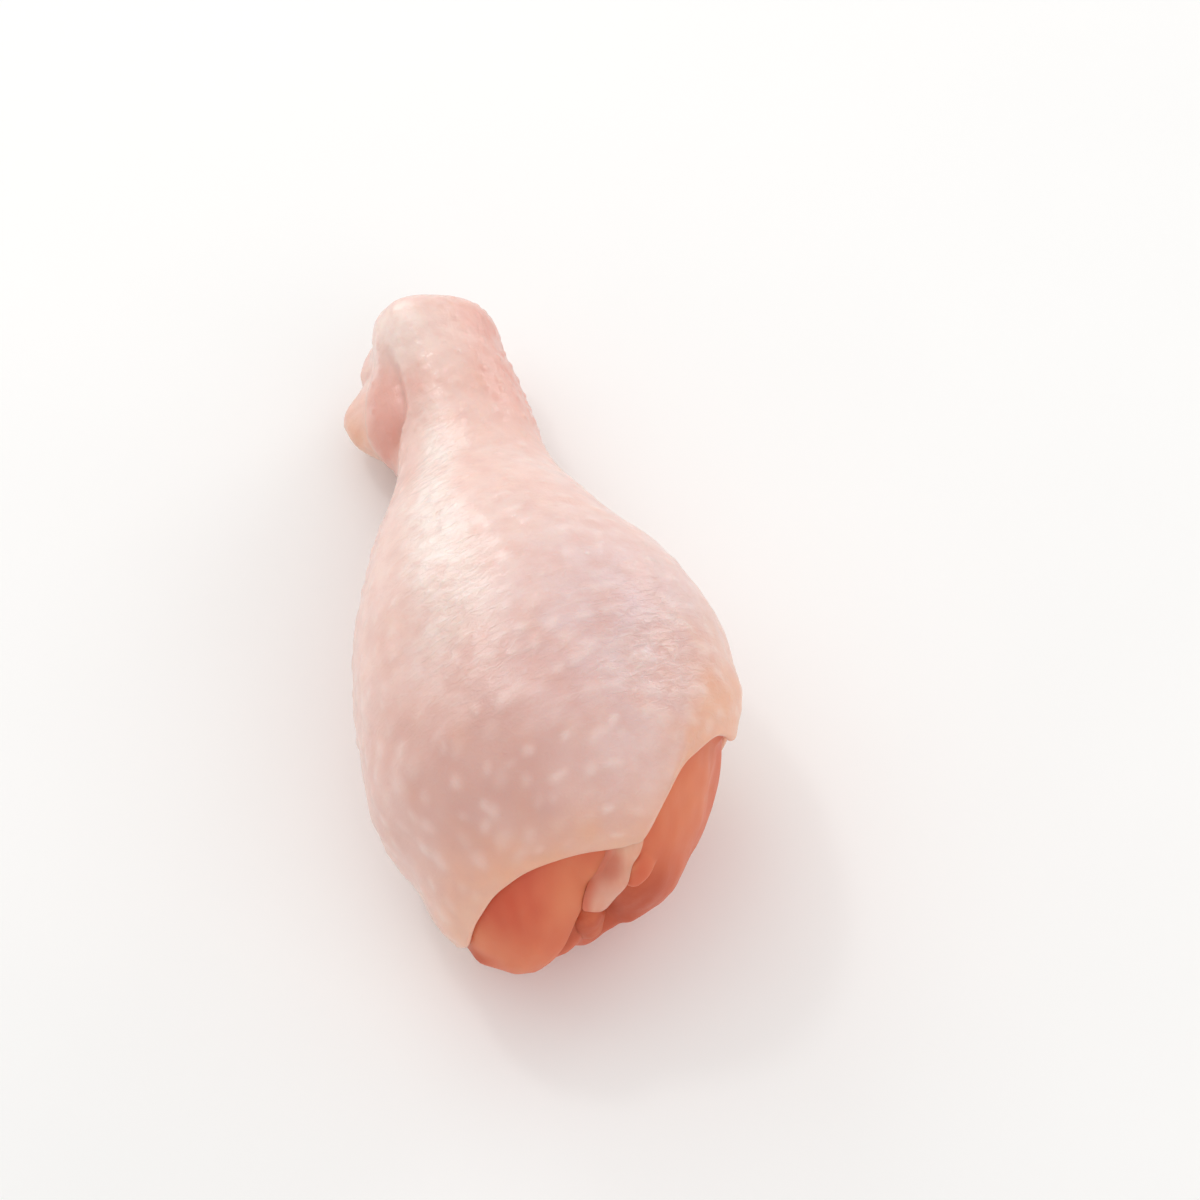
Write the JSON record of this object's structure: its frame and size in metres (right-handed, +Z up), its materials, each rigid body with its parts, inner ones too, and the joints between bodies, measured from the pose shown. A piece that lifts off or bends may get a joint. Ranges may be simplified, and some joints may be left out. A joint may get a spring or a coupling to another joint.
{
  "type": "raw chicken drumstick",
  "caption": "Raw skin-on chicken drumstick lying on its side, plump belly tapering to a knobbed ankle, with bare meat and a tendon at the cut knee end.",
  "frame": {"origin": "on the resting surface, under the middle of the drumstick's box", "axes": "+Y along the leg from the knee end to the ankle knob, +Z up from the resting surface, +X to the right seen from the knee end"},
  "size_m": [0.0594, 0.1212, 0.0507],
  "materials": {
    "skin": "moist satin, raised follicles",
    "meat": "wet satin",
    "tendon": "wet satin",
    "cartilage": "wet satin"
  },
  "bodies": {
    "root": {"skin": "skin", "meat": "meat", "tendon": "tendon", "cartilage": "cartilage"}
  },
  "joints": []
}
